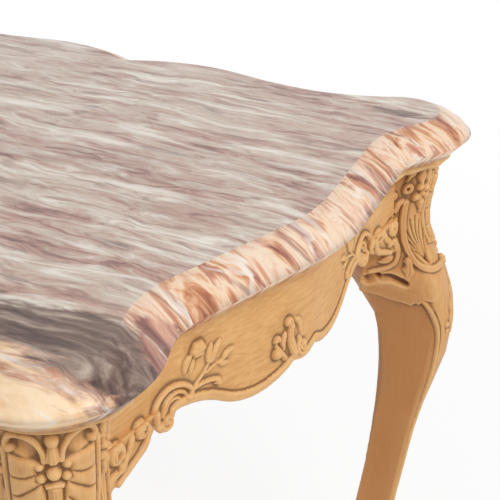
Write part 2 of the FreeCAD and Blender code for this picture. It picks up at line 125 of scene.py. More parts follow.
def limed_walnut(name, along):
    """Carved walnut, bleached and limed, then waxed: honey on the faces, dark wax left in the cuts, painted
    shade in wide hollows, and a darker stain that on the legs' sides and shank is painted shade too.
    """
    material, tree = new_material(name)
    place, board = board_space(tree, along)
    rings = add(tree, "ShaderNodeTexNoise", {
        "Vector": board, "Scale": 1 / (GRAIN_WIDTH * MM), "Detail": 4.0, "Roughness": 0.6,
        "Distortion": 0.5})
    pores = add(tree, "ShaderNodeTexNoise", {
        "Vector": board, "Scale": 1 / (PORE_WIDTH * MM), "Detail": 2.0})
    tone = add(tree, "ShaderNodeTexNoise", {
        "Vector": place, "Scale": 1 / (TONE_WIDTH * MM), "Detail": 3.0})
    face = add(tree, "ShaderNodeValToRGB", {"Fac": rings.outputs["Fac"]}, stops=[
        (0.25, "#BC8147"), (0.42, "#CF985A"), (0.55, "#DAA96C"), (0.75, "#E6BE86")])
    patchy = add(tree, "ShaderNodeValToRGB", {"Fac": tone.outputs["Fac"]}, stops=[
        (0.35, "#C99458"), (0.5, "#DAA86A"), (0.68, "#E2B77E")])
    body = add(tree, "ShaderNodeMix", {
        0: TONE_SHARE, 6: face.outputs["Color"], 7: patchy.outputs["Color"]}, data_type="RGBA")
    # Darker stain; on the legs' sides and shank this is also painted shade
    shade = add(tree, "ShaderNodeAttribute", attribute_name="stain_and_shade_share")
    stained_and_shaded = add(tree, "ShaderNodeMix", {
        0: shade.outputs["Fac"], 6: body.outputs[2], 7: linear("#B07540")}, data_type="RGBA")
    # The mark is 0.5 on a flat face, more in a hollow and less on a ridge: dark wax in cuts, painted shade in
    # wide hollows, paler wear on ridges
    hollow = add(tree, "ShaderNodeAttribute", attribute_name="hollow")
    wax_and_shade = add(tree, "ShaderNodeMapRange", {
        "Value": hollow.outputs["Fac"], "From Min": 0.55, "From Max": 0.95, "To Max": WAX_AND_SHADE_SHARE})
    worn = add(tree, "ShaderNodeMapRange", {
        "Value": hollow.outputs["Fac"], "From Min": 0.44, "From Max": 0.1, "To Max": RUB_SHARE})
    rubbed = add(tree, "ShaderNodeMix", {
        0: worn.outputs["Result"], 6: stained_and_shaded.outputs[2], 7: linear("#E8C28A")}, data_type="RGBA")
    # Dark wax in the cuts, and painted shade in wide hollows
    glazed_and_shaded = add(tree, "ShaderNodeMix", {
        0: wax_and_shade.outputs["Result"], 6: rubbed.outputs[2], 7: linear("#53321A")}, data_type="RGBA")
    relief = add(tree, "ShaderNodeBump", {
        "Height": pores.outputs["Fac"], "Strength": 0.25, "Distance": 0.25 * MM})
    rough = add(tree, "ShaderNodeMapRange", {
        "Value": pores.outputs["Fac"], "To Min": 0.42, "To Max": 0.62})
    surface = add(tree, "ShaderNodeBsdfPrincipled", {
        "Base Color": glazed_and_shaded.outputs[2], "Roughness": rough.outputs["Result"], "IOR": 1.5,
        "Specular IOR Level": 0.35, "Normal": relief.outputs["Normal"]})
    add(tree, "ShaderNodeOutputMaterial", {"Surface": surface.outputs["BSDF"]})
    return material


def sawn_beech(name, along):
    """Beech left from the saw inside the frame: pale, dull, with fine ridges across the grain."""
    material, tree = new_material(name)
    place, board = board_space(tree, along)
    rings = add(tree, "ShaderNodeTexNoise", {
        "Vector": board, "Scale": 1 / (GRAIN_WIDTH * MM), "Detail": 5.0, "Roughness": 0.65})
    ridges = add(tree, "ShaderNodeTexWave", {
        "Vector": place, "Scale": WAVE_PERIOD / (SAW_SPACING * MM), "Distortion": 3.0, "Detail": 2.0},
        bands_direction="DIAGONAL")
    face = add(tree, "ShaderNodeValToRGB", {"Fac": rings.outputs["Fac"]}, stops=[
        (0.3, "#A98458"), (0.5, "#C3A072"), (0.72, "#D2B58A")])
    relief = add(tree, "ShaderNodeBump", {
        "Height": ridges.outputs["Fac"], "Strength": 0.3, "Distance": 0.3 * MM})
    surface = add(tree, "ShaderNodeBsdfPrincipled", {
        "Base Color": face.outputs["Color"], "Roughness": 0.75, "IOR": 1.5,
        "Specular IOR Level": 0.3, "Normal": relief.outputs["Normal"]})
    add(tree, "ShaderNodeOutputMaterial", {"Surface": surface.outputs["BSDF"]})
    return material


BED_WIDTH = 12.0                # beds of the marble, which run along the table's length
BED_STRETCH = 0.17
PATCH_WIDTH = 46.0              # paler and redder stretches of them
PATCH_SHARE = 0.36
DRIFT_WIDTH = 110.0             # slow bends of the beds
DRIFT_SHARE = 0.035
FOLD_ANGLE = 21.0               # turn of the beds at the dark corner
FOLD_WIDTH = 25.0               # beds on end, where the moulded edge cuts through them
FOLD_STRETCH = (0.3, 1.0, 0.22)
HUE_WIDTH = 50.0                # stretches of rust and rose along that edge
VEIN_SPACING = 70.0
FLAT_UPRIGHT = 0.999            # upright part of the normal, at the rim of the flat face
EDGE_UPRIGHT = 0.985            # and where the moulded edge has begun


def bed(tree, place, ragged, centre, reach):
    """How far a point lies within one bed of the stone: 1 inside, 0 outside, with a ragged limit."""
    away = add(tree, "ShaderNodeVectorMath", {0: place, 1: Vector(centre) * MM}, operation="SUBTRACT")
    share = add(tree, "ShaderNodeVectorMath", {0: away.outputs[0], 1: Vector(reach) * MM},
                operation="DIVIDE")
    ring = add(tree, "ShaderNodeVectorMath", {0: share.outputs[0]}, operation="LENGTH")
    edge = add(tree, "ShaderNodeMath", {0: ring.outputs["Value"], 1: ragged}, operation="ADD")
    return add(tree, "ShaderNodeMapRange", {
        "Value": edge.outputs["Value"], "From Min": 1.16, "From Max": 0.86},
        interpolation_type="SMOOTHSTEP").outputs["Result"]


def parting(tree, beds, bends, patches):
    """Thin lines between beds, broken off here and there."""
    waves = add(tree, "ShaderNodeTexWave", {
        "Vector": beds, "Scale": WAVE_PERIOD / (VEIN_SPACING * MM), "Distortion": bends, "Detail": 3.0,
        "Detail Scale": 3.0}, bands_direction="Y")
    line = add(tree, "ShaderNodeMapRange", {
        "Value": waves.outputs["Fac"], "From Min": 0.97, "From Max": 1.0, "To Max": 0.6},
        interpolation_type="SMOOTHSTEP")
    kept = add(tree, "ShaderNodeMapRange", {
        "Value": patches, "From Min": 0.46, "From Max": 0.58}, interpolation_type="SMOOTHSTEP")
    return add(tree, "ShaderNodeMath", {0: line.outputs["Result"], 1: kept.outputs["Result"]},
               operation="MULTIPLY").outputs[0]


def polished_marble():
    """Pink and grey breccia marble, sawn along its beds and polished: long broken streaks on the flat, rust
    and cream folds on the moulded edge, a dark bed beside a cream one at a corner, and a clear gloss."""
    material, tree = new_material("breccia_marble_polished")
    place = add(tree, "ShaderNodeTexCoord").outputs["Object"]
    drift = add(tree, "ShaderNodeTexNoise", {
        "Vector": place, "Scale": 1 / (DRIFT_WIDTH * MM), "Detail": 3.0})
    bent = add(tree, "ShaderNodeMix", {0: DRIFT_SHARE, 4: place, 5: drift.outputs["Color"]},
               data_type="VECTOR").outputs[1]
    long_beds = add(tree, "ShaderNodeMapping", {
        "Vector": bent, "Scale": (BED_STRETCH, 1.0, 1.0)}).outputs["Vector"]
    turned_beds = add(tree, "ShaderNodeMapping", {
        "Vector": bent, "Rotation": (0.0, 0.0, -math.radians(FOLD_ANGLE)),
        "Scale": (BED_STRETCH, 1.0, 1.0)}).outputs["Vector"]
    streaks = add(tree, "ShaderNodeTexNoise", {
        "Vector": long_beds, "Scale": 1 / (BED_WIDTH * MM), "Detail": 8.0, "Roughness": 0.66,
        "Distortion": 0.9}).outputs["Fac"]
    patches = add(tree, "ShaderNodeTexNoise", {
        "Vector": long_beds, "Scale": 1 / (PATCH_WIDTH * MM), "Detail": 4.0,
        "Distortion": 1.2}).outputs["Fac"]
    fine = add(tree, "ShaderNodeValToRGB", {"Fac": streaks}, stops=[
        (0.33, "#5E4842"), (0.4, "#91716A"), (0.455, "#B69486"), (0.5, "#C2AB9C"), (0.55, "#C9BAAB"),
        (0.6, "#D8CEC2"), (0.65, "#EAE4DA")])
    wide = add(tree, "ShaderNodeValToRGB", {"Fac": patches}, stops=[
        (0.37, "#946E66"), (0.46, "#B89486"), (0.52, "#BEAE9E"), (0.61, "#D8CFC2")])
    flat = add(tree, "ShaderNodeMix", {
        0: PATCH_SHARE, 6: fine.outputs["Color"], 7: wide.outputs["Color"]}, data_type="RGBA")

    # Beds on end down the moulded edge, with dark lines between them
    on_end = add(tree, "ShaderNodeMapping", {"Vector": bent, "Scale": FOLD_STRETCH}).outputs["Vector"]
    folds = add(tree, "ShaderNodeTexNoise", {
        "Vector": on_end, "Scale": 1 / (FOLD_WIDTH * MM), "Detail": 6.0, "Roughness": 0.6,
        "Distortion": 0.9}).outputs["Fac"]
    rusty = add(tree, "ShaderNodeValToRGB", {"Fac": folds}, stops=[
        (0.32, "#7E4836"), (0.39, "#AE7052"), (0.45, "#D09A76"), (0.5, "#E4C2A2"), (0.55, "#E8D0B8"),
        (0.59, "#CE9678"), (0.65, "#A86E5E"), (0.7, "#86564C")])
    rosy = add(tree, "ShaderNodeValToRGB", {"Fac": folds}, stops=[
        (0.34, "#986A60"), (0.42, "#CC9E88"), (0.48, "#E6C6AA"), (0.53, "#E6D2BC"), (0.6, "#DDB296"),
        (0.68, "#AC7C6E")])
    hues = add(tree, "ShaderNodeTexNoise", {
        "Vector": on_end, "Scale": 1 / (HUE_WIDTH * MM), "Detail": 2.0, "Distortion": 0.6})
    rosy_share = add(tree, "ShaderNodeMapRange", {
        "Value": hues.outputs["Fac"], "From Min": 0.44, "From Max": 0.56}, interpolation_type="SMOOTHSTEP")
    edge = add(tree, "ShaderNodeMix", {
        0: rosy_share.outputs["Result"], 6: rusty.outputs["Color"], 7: rosy.outputs["Color"]},
        data_type="RGBA")
    edge = add(tree, "ShaderNodeMix", {
        0: parting(tree, on_end, 5.0, patches), 6: edge.outputs[2], 7: linear("#8A5C4E")}, data_type="RGBA")
    normal = add(tree, "ShaderNodeNewGeometry").outputs["True Normal"]
    upright = add(tree, "ShaderNodeSeparateXYZ", {"Vector": normal}).outputs["Z"]
    moulded = add(tree, "ShaderNodeMapRange", {
        "Value": upright, "From Min": FLAT_UPRIGHT, "From Max": EDGE_UPRIGHT},
        interpolation_type="SMOOTHSTEP")
    stone = add(tree, "ShaderNodeMix", {
        0: moulded.outputs["Result"], 6: flat.outputs[2], 7: edge.outputs[2]}, data_type="RGBA")

    # Dark, plum and cream beds of the front right corner, and a dark one at the rear right, in millimetres
    turned = add(tree, "ShaderNodeTexNoise", {
        "Vector": turned_beds, "Scale": 1 / (BED_WIDTH * MM), "Detail": 7.0, "Roughness": 0.62,
        "Distortion": 0.6}).outputs["Fac"]
    ragged = add(tree, "ShaderNodeMath", {0: streaks, 1: drift.outputs["Fac"]}, operation="ADD")
    ragged = add(tree, "ShaderNodeMapRange", {
        "Value": ragged.outputs[0], "From Min": 0.6, "From Max": 1.4, "To Min": -0.5, "To Max": 0.5},
        clamp=False).outputs["Result"]
    dusk = add(tree, "ShaderNodeValToRGB", {"Fac": turned}, stops=[
        (0.34, "#52403B"), (0.46, "#705B53"), (0.55, "#8A756A"), (0.6, "#9A877A"), (0.68, "#B4A496")])
    plum = add(tree, "ShaderNodeValToRGB", {"Fac": folds}, stops=[
        (0.36, "#65413D"), (0.5, "#9C6E62"), (0.62, "#CFA088")])
    pale = add(tree, "ShaderNodeValToRGB", {"Fac": folds}, stops=[
        (0.34, "#D9A780"), (0.46, "#E7C49B"), (0.6, "#F1D7B6")])
    layers = stone
    for colours, centre, reach in ((dusk, (385, -292, 745), (112, 46, 70)),
                                   (dusk, (382, 283, 768), (34, 11, 12)),
                                   (plum, (458, -234, 744), (46, 28, 60)),
                                   (plum, (400, -388, 746), (124, 68, 64)),
                                   (pale, (396, -388, 748), (116, 61, 60))):
        within = bed(tree, place, ragged, centre, reach)
        layers = add(tree, "ShaderNodeMix", {
            0: within, 6: layers.outputs[2], 7: colours.outputs["Color"]}, data_type="RGBA")

    # Thin pale veins where the beds parted
    veined = layers
    for beds, bends in ((long_beds, 9.0), (turned_beds, 6.0)):
        line = parting(tree, beds, bends, patches)
        veined = add(tree, "ShaderNodeMix", {
            0: line, 6: veined.outputs[2], 7: linear("#E9E2D8")}, data_type="RGBA")
    surface = add(tree, "ShaderNodeBsdfPrincipled", {
        "Base Color": veined.outputs[2], "Roughness": 0.18, "IOR": 1.5, "Specular IOR Level": 0.22})
    add(tree, "ShaderNodeOutputMaterial", {"Surface": surface.outputs["BSDF"]})
    return material


# Carver's kit: heights in millimetres over a flattened face
BEND_STEPS = 8                  # between two points of a line
SPIRAL_STEPS = 18               # in one turn
SPIRAL_INNER = 0.25             # share of its size at which a spiral ends


def bend(points):
    """A smooth line through a few points."""
    known = np.array(points, float)
    if len(known) == 2:
        return known
    held = np.vstack([2 * known[0] - known[1], known, 2 * known[-1] - known[-2]])
    share = np.linspace(0, 1, BEND_STEPS, endpoint=False)[:, None]
    runs = []
    for before, start, end, after in zip(held, held[1:], held[2:], held[3:]):
        runs.append(0.5 * (2 * start + (end - before) * share
                           + (2 * before - 5 * start + 4 * end - after) * share ** 2
                           + (3 * start - before - 3 * end + after) * share ** 3))
    return np.vstack(runs + [known[-1:]])


def spiral(centre, radius, start, turns):
    """A volute that winds inwards from an angle in degrees; turns below zero wind the other way."""
    share = np.linspace(0, 1, int(SPIRAL_STEPS * abs(turns)) + 2)
    angle = math.radians(start) + share * turns * 2 * math.pi
    size = radius * (1 - (1 - SPIRAL_INNER) * share)
    return np.stack([centre[0] + size * np.cos(angle), centre[1] + size * np.sin(angle)], 1)


class Relief:
    """What the chisel leaves on a face: across and drop place each point, height is what stands proud."""

    def __init__(self, across, drop, height=None):
        self.across = across
        self.drop = drop
        self.height = np.zeros_like(across) if height is None else height

    def measure(self, line, reach):
        """Points near a line: which they are, how far off it, and how far along it."""
        low, high = line.min(0) - reach, line.max(0) + reach
        near = np.flatnonzero((self.across > low[0]) & (self.across < high[0])
                              & (self.drop > low[1]) & (self.drop < high[1]))
        place = np.stack([self.across[near], self.drop[near]], 1)
        steps = np.diff(line, axis=0)
        lengths = np.hypot(steps[:, 0], steps[:, 1])
        starts = np.concatenate([[0], np.cumsum(lengths)])
        off = np.full(len(near), np.inf)
        along = np.zeros(len(near))
        for start, step, length, run in zip(line, steps, lengths, starts):
            if length == 0:
                continue
            share = np.clip((place - start) @ step / length ** 2, 0, 1)
            gap = np.hypot(*(place - start - share[:, None] * step).T)
            closer = gap < off
            off[closer] = gap[closer]
            along[closer] = (run + share[closer] * length) / starts[-1]
        return near, off, along

    def lift(self, near, height):
        """Raises points to a height, where they don't stand higher already."""
        self.height[near] = np.maximum(self.height[near], height)

    def cord(self, points, half, height, end=None, cove=0.0):
        """A rounded moulding along a line, which may taper, with a cove down its middle."""
        near, off, along = self.measure(bend(points), half + 1)
        width = half + ((half if end is None else end) - half) * along
        share = off / width
        inside = share < 1
        rise = height * (1 - share[inside] ** 2) ** 0.7 * (width[inside] / half) ** 0.5
        rise -= cove * np.clip(1 - (share[inside] / 0.6) ** 2, 0, 1)
        self.lift(near[inside], rise)

    def leaf(self, points, half, height, lobes=0, vein=0.8):
        """A leaf along a bent spine, with a vein and lobed edges."""
        near, off, along = self.measure(bend(points), half + 2)
        width = half * np.sin(math.pi * np.clip(0.08 + 0.92 * along ** 0.8, 0, 1)) ** 0.7 + 0.3
        if lobes:
            width = width * (0.86 + 0.2 * np.cos(2 * math.pi * lobes * along))
        share = off / width
        inside = share < 1
        rise = height * (1 - share[inside] ** 2) ** 0.6
        rise -= vein * np.exp(-(off[inside] / 1.1) ** 2)
        self.lift(near[inside], rise)

    def dome(self, centre, radius, height):
        """A bead or boss."""
        gap = np.hypot(self.across - centre[0], self.drop - centre[1]) / radius
        inside = gap < 1
        self.lift(inside, height * np.sqrt(1 - gap[inside] ** 2))

    def scroll(self, centre, radius, start, turns, half, height):
        """A volute: a tapering moulding wound round a boss."""
        self.cord(spiral(centre, radius - half, start, turns), half, height, end=half * 0.6)
        self.dome(centre, radius * 0.36, height * 1.15)

    def cushions(self, region, lines, height, reach):
        """Puffed lobes between cut lines."""
        off = np.full(len(self.across), np.inf)
        for points in lines:
            near, gap, _ = self.measure(bend(points), reach)
            off[near] = np.minimum(off[near], gap)
        chosen = np.flatnonzero(region)
        share = np.clip(off[chosen] / reach, 0, 1)
        self.lift(chosen, height * np.sqrt(1 - (1 - share) ** 2))

    def disc(self, centre, radius, height, start, turns):
        """A flat round end with a spiral cut into it."""
        gap = np.hypot(self.across - centre[0], self.drop - centre[1]) / radius
        inside = gap < 1
        self.lift(inside, height * np.sqrt(1 - gap[inside] ** 5))
        self.groove(spiral(centre, radius * 0.72, start, turns), 1.0, 1.5)

    def groove(self, points, half, depth):
        """A cut from a veiner."""
        near, off, _ = self.measure(bend(points), half)
        share = off / half
        inside = share < 1
        self.height[near[inside]] -= depth * (1 - share[inside] ** 2)

    def eye(self, centre, radius, depth):
        """A drilled eye."""
        gap = np.hypot(self.across - centre[0], self.drop - centre[1]) / radius
        self.height -= depth * np.clip(1.4 - gap * 1.4, 0, 1) ** 0.5


def flipped(points, side):
    """Points of the right half, moved to the side that is asked for."""
    return [(side * across, drop) for across, drop in points]


# Blanks
def averaged(values, edges, rounds):
    """Values shared out between neighbouring points."""
    count = np.bincount(edges.ravel(), minlength=len(values))[:, None]
    for _ in range(rounds):
        total = np.zeros_like(values)
        for axis in range(values.shape[1]):
            total[:, axis] = (np.bincount(edges[:, 0], values[edges[:, 1], axis], len(values))
                              + np.bincount(edges[:, 1], values[edges[:, 0], axis], len(values)))
        values = 0.5 * values + 0.5 * total / count
    return values


def welded_copy(node, flat_angle=None):
    """A copy of a CAD node's mesh with doubled points joined, and flat faces made one below an angle."""
    mesh = nodes[node].data.copy()
    welded = bmesh.new()
    welded.from_mesh(mesh)
    bmesh.ops.remove_doubles(welded, verts=welded.verts, dist=WELD_GAP * MM)
    if flat_angle:
        bmesh.ops.dissolve_limit(welded, angle_limit=math.radians(flat_angle), verts=welded.verts,
                                 edges=welded.edges)
    welded.to_mesh(mesh)
    welded.free()
    return mesh


class Blank:
    """An evenly meshed, eased copy of a CAD node, ready for carving."""

    def __init__(self, node, cell, easing, sharp):
        block = bpy.data.objects.new(node + "_blank", welded_copy(node))
        scene.collection.objects.link(block)
        cells = block.modifiers.new("even_cells", "REMESH")
        cells.mode = "VOXEL"
        cells.voxel_size = cell * MM
        self.mesh = modified(block)
        self.edges = np.empty(2 * len(self.mesh.edges), np.int32)
        self.mesh.edges.foreach_get("vertices", self.edges)
        self.edges = self.edges.reshape(-1, 2)
        points = np.empty(3 * len(self.mesh.vertices), np.float32)
        self.mesh.vertices.foreach_get("co", points)
        crisp = averaged(points.reshape(-1, 3).astype(float), self.edges, CRISP_ROUNDS)
        self.points = averaged(crisp, self.edges, easing)
        self.points += (crisp - self.points) * sharp(crisp)[:, None]
        self.measure()

    def measure(self):
        """Puts the points into the mesh and takes its normals."""
        self.mesh.vertices.foreach_set("co", self.points.astype(np.float32).ravel())
        self.mesh.update()
        normals = np.empty(3 * len(self.mesh.vertices), np.float32)
        self.mesh.vertex_normals.foreach_get("vector", normals)
        self.normals = normals.reshape(-1, 3).astype(float)

    def carved(self, height, stain_and_shade_share, kept):
        """The blank pushed out by height, with its cuts marked for the wax and its wide hollows for painted
        shade, thinned for use.
        """
        self.points = self.points + self.normals * (height * MM)[:, None]
        self.points = averaged(self.points, self.edges, 1)
        self.measure()
        cut = averaged(self.points, self.edges, CUT_ROUNDS)
        wide = averaged(cut, self.edges, HOLLOW_ROUNDS)
        dips = [((filled - self.points) * self.normals).sum(1) / MM for filled in (cut, wide)]
        # Painted shade: the wide dips darken broad recesses where shade falls; the narrow dips mark the dark
        # wax in cuts
        hollow = 0.5 + CUT_WEIGHT * dips[0] + HOLLOW_WEIGHT * np.clip(dips[1], -0.6, 3)
        busy = averaged((np.abs(dips[0]) > CARVED_DIP)[:, None].astype(float), self.edges, 4)[:, 0]
        # The second mark is darker stain, and on the legs' sides and shank painted shade too
        for name, values in (("hollow", np.clip(hollow, 0, 1)), ("stain_and_shade_share", stain_and_shade_share)):
            layer = self.mesh.attributes.new(name, "FLOAT", "POINT")
            layer.data.foreach_set("value", values.astype(np.float32))
        block = bpy.data.objects.new("carved_blank", self.mesh)
        scene.collection.objects.link(block)
        calm = block.vertex_groups.new(name="calm")
        calm.add(np.flatnonzero(busy < 0.02).tolist(), 1.0, "REPLACE")
        thinning = block.modifiers.new("thinned", "DECIMATE")
        thinning.ratio = kept
        thinning.vertex_group = calm.name
        thinning.vertex_group_factor = CARVED_CARE
        return modified(block)


def modified(block):
    """The mesh of an object with its modifiers applied; the object goes."""
    graph = bpy.context.evaluated_depsgraph_get()
    mesh = bpy.data.meshes.new_from_object(block.evaluated_get(graph))
    bpy.data.objects.remove(block)
    mesh.shade_smooth()
    return mesh


def placed(mesh, node, sign_x, sign_y, material, body):
    """A finished piece in place of its node, turned or mirrored from the one that was carved."""
    mesh = mesh.copy()
    points = np.empty(3 * len(mesh.vertices), np.float32)
    mesh.vertices.foreach_get("co", points)
    points = points.reshape(-1, 3) * np.array([sign_x, sign_y, 1], np.float32)
    mesh.vertices.foreach_set("co", points.ravel())
    if sign_x * sign_y < 0:
        mesh.flip_normals()
    mesh.materials.clear()
    mesh.materials.append(material)
    piece = bpy.data.objects.new("finished_" + node, mesh)
    scene.collection.objects.link(piece)
    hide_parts(node)
    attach(piece, body)
    return piece


def eased_step(value, low, high):
    """From 0 at low to 1 at high, without a corner at either."""
    share = np.clip((value - low) / (high - low), 0, 1)
    return share * share * (3 - 2 * share)


# Legs
BAND = 2.0                      # heights at which a leg is measured
LIP_DEPTH = 9.0                 # lip under the marble, left uncarved
LIP_SWELL = 9.0                 # how far it stands out at the sides
LIP_FALL = 5.0                  # how much deeper it is there
PANEL_HALF = 34.0               # sunk panel of the front
PANEL_SUNK = 3.0
PANEL_FOOT = 126.0
HAUNCH_RISE = 3.6
TOE_RADIUS = 16.0
FRONT_STAIN = 0.3               # share of the darker stain on the front, the sides and the plain shank; on the sides and the shank it is painted shade as well, for faces turned from the key lamp and shaded by the slab
SIDE_STAIN_AND_SHADE = 0.65
SHANK_STAIN_AND_SHADE = 0.85


class LegFace:
    """A leg unrolled: across runs round the front from its middle line, on past each edge over the side."""

    def __init__(self, blank):
        low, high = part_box("leg_front_right")
        middle = (low + high) / 2
        out, aside = (blank.points[:, 0] - middle.x) / MM, (blank.points[:, 1] - middle.y) / MM
        self.depth = (out - aside) * math.sqrt(0.5)
        self.width = (out + aside) * math.sqrt(0.5)
        self.drop = (FRAME_TOP - blank.points[:, 2]) / MM
        self.band = np.clip(self.drop / BAND, 0, None).astype(int)
        wide = np.abs(self.width)
        anywhere = np.ones(len(wide), bool)
        front, back = self.farthest(self.depth, anywhere), -self.farthest(-self.depth, anywhere)
        half = self.farthest(wide, anywhere)
        edge = self.farthest(self.depth, wide > half[self.band] - 1.0)
        back_half = self.farthest(wide, self.depth < back[self.band] + 1.5)
        front, back, half, edge, back_half = (self.evened(v) for v in (front, back, half, edge, back_half))
        radius = ((front - edge) ** 2 + half ** 2) / (2 * (front - edge))
        centre = front - radius
        angle = np.arctan2(self.width, self.depth - centre)
        self.border = radius * np.arctan2(half, edge - centre)
        behind = np.clip(edge - self.depth, 0, None)
        side_half = half - (half - back_half) * behind / (edge - back)
        on_side = (self.depth < edge) & (wide > side_half - 3.0)
        self.across = np.where(on_side, np.sign(self.width) * (self.border + behind), radius * angle)
        self.outer = (self.depth > edge - 3) | on_side
        self.past_edge = np.abs(self.across) - self.border

    def farthest(self, values, chosen):
        """The largest value in each band, with the lip left out."""
        found = np.full(self.band.max() + 1, -1e3)
        np.maximum.at(found, self.band[chosen], values[chosen])
        first = int(LIP_DEPTH / BAND) + 1
        found[:first] = found[first]
        return found

    def evened(self, values):
        """Each point's band value, averaged with the bands beside it."""
        return np.convolve(np.pad(values, 4, "edge"), np.ones(9) / 9, "valid")[self.band]


def carve_panel(panel, side):
    """One half of the leg's front, from the lip to the knee."""
    def on(*points):
        return flipped(points, side)

    # Half a shell of puffed lobes under an arching scroll, beside the bead column
    aside = panel.across * side
    top = 35 - 0.16 * (aside - 8)
    cuts = [on((8, 35), (20, 33), (34, 31)), on((11, 46), (20, 51.5), (29, 53), (35, 51)),
            on((10, 57), (18, 64), (27, 71), (35, 72)), on((9, 72), (17, 82), (27, 92), (34, 93)),
            on((8, 88), (14, 99), (24, 112)), on((34, 26), (34, 60), (32, 92), (25, 122)),
            on((6, 30), (11, 37), (12, 52), (7, 62), (6, 124))]
    inner = np.interp(panel.drop, (30, 37, 52, 62, 124), (6, 11, 12, 7, 6))
    foot = 122 - 0.08 * aside.clip(0) ** 1.3
    region = (aside > inner) & (aside < PANEL_HALF) & (panel.drop > top) & (panel.drop < foot)
    panel.cushions(region, cuts, 3.6, 6.0)
    panel.groove(on((12, 29), (18, 23), (27, 20)), 7.0, 2.4)
    panel.cord(on((6, 34), (7.5, 24), (13, 15), (22, 11), (31, 14), (35, 21), (32, 27)), 2.4, 4.6, cove=1.2)
    panel.dome((side * 31, 25), 3.2, 4.6)
    # Fillet and pellet
    panel.cord(on((38, 28), (38, 58), (37, 78), (33, 98)), 3.4, 3.0, end=2.2)
    panel.dome((side * 43, 31), 3.6, 4.0)
    # Fan inside the outer border, which ends in a scroll
    for tip in ((35, 95), (42, 82), (49, 76), (56, 79), (60, 92), (59, 106), (55, 119)):
        panel.groove(on((41, 137), ((41 + tip[0]) / 2 + 1.5, (137 + tip[1]) / 2 - 2), tip), 1.4, 2.0)
    panel.cord(on((66, 58), (65.5, 72), (65, 90), (64, 111), (58, 133), (44, 144), (22, 147)),
               4.4, 4.8, cove=1.6)
    panel.scroll((side * 12, 145), 8.5, 90 - side * 90, side * 1.4, 2.6, 6.5)
    # Flower with hanging leaves at the top of the edge
    for root, middle, tip, half, rise in (((46, 14), (46, 26), (43, 40), 4.6, 4.6),
                                          ((54, 13), (55, 26), (52, 42), 5.4, 5.6),
                                          ((63, 13), (67, 22), (72, 33), 5.0, 4.8),
                                          ((52, 50), (47, 60), (45, 72), 4.8, 4.6)):
        panel.leaf(on(root, middle, tip), half, rise, lobes=2)
    for petal in ((53, 40), (45, 42), (43, 51), (48, 58), (56, 52)):
        panel.dome((side * petal[0], petal[1]), 4.8, 5.8)
    panel.dome((side * 49, 48), 3.4, 7.0)
    panel.disc((side * 68, 41), 6.5, 5.4, 40, side * 1.2)
    panel.eye((side * 68, 41), 2.4, 5.5)
    # Curls over the side, beside the rail
    panel.scroll((side * 83, 48), 6.5, 60, side * 1.2, 2.4, 4.6)
    panel.scroll((side * 81, 65), 6.0, 200, -side * 1.2, 2.3, 4.4)
    panel.leaf(on((70, 54), (75, 60), (75, 70)), 4.0, 4.0)
    # Stem that winds down from a curl to the bracket, and the leaf that droops beside it
    panel.scroll((side * 80, 99), 5.4, 90, side * 1.1, 2.2, 5.0)
    panel.cord(on((75, 101), (74, 110), (76, 119), (83, 130), (95, 136), (114, 139)), 3.2, 4.4, cove=1.0)
    panel.leaf(on((66, 127), (69, 141), (78, 158)), 7.5, 5.4, lobes=2, vein=1.0)
    panel.leaf(on((84, 122), (92, 126), (102, 127)), 4.0, 3.6)
    # Knee leaf
    panel.leaf(on((4, 170), (16, 190), (26, 214), (29, 238)), 10.0, 2.8, lobes=4)
    panel.dome((side * 38.5, 223), 4.0, 3.2)
    panel.dome((side * 37.5, 231), 3.0, 2.6)


def carve_column(panel):
    """Knob, bell, beads and husk down the middle of the front, over a leaf on the knee."""
    panel.leaf([(0, 160), (0, 200), (0, 268)], 15.0, 3.6, lobes=5, vein=1.2)
    panel.cord([(0, 62), (0, 90), (0, 132)], 5.4, 5.6, end=4.0)
    panel.cord([(0, 22), (0, 27), (0, 32)], 3.8, 5.6, end=5.8)
    for flute in (-2.6, 0.0, 2.6):
        panel.groove([(flute, 62), (flute, 90), (flute * 0.8, 128)], 1.2, 1.5)
        panel.groove([(flute * 0.8, 22), (flute * 1.2, 36)], 1.1, 1.3)
    panel.cord([(-5.5, 58), (0, 57), (5.5, 58)], 1.8, 5.6)
    for side in (-1, 1):
        panel.dome((side * 9.6, 39), 3.6, 4.8)
        panel.dome((side * 8.8, 51), 3.8, 4.8)
    panel.dome((0, 45.5), 5.4, 8.0)
    panel.dome((0, 15), 5.0, 8.0)


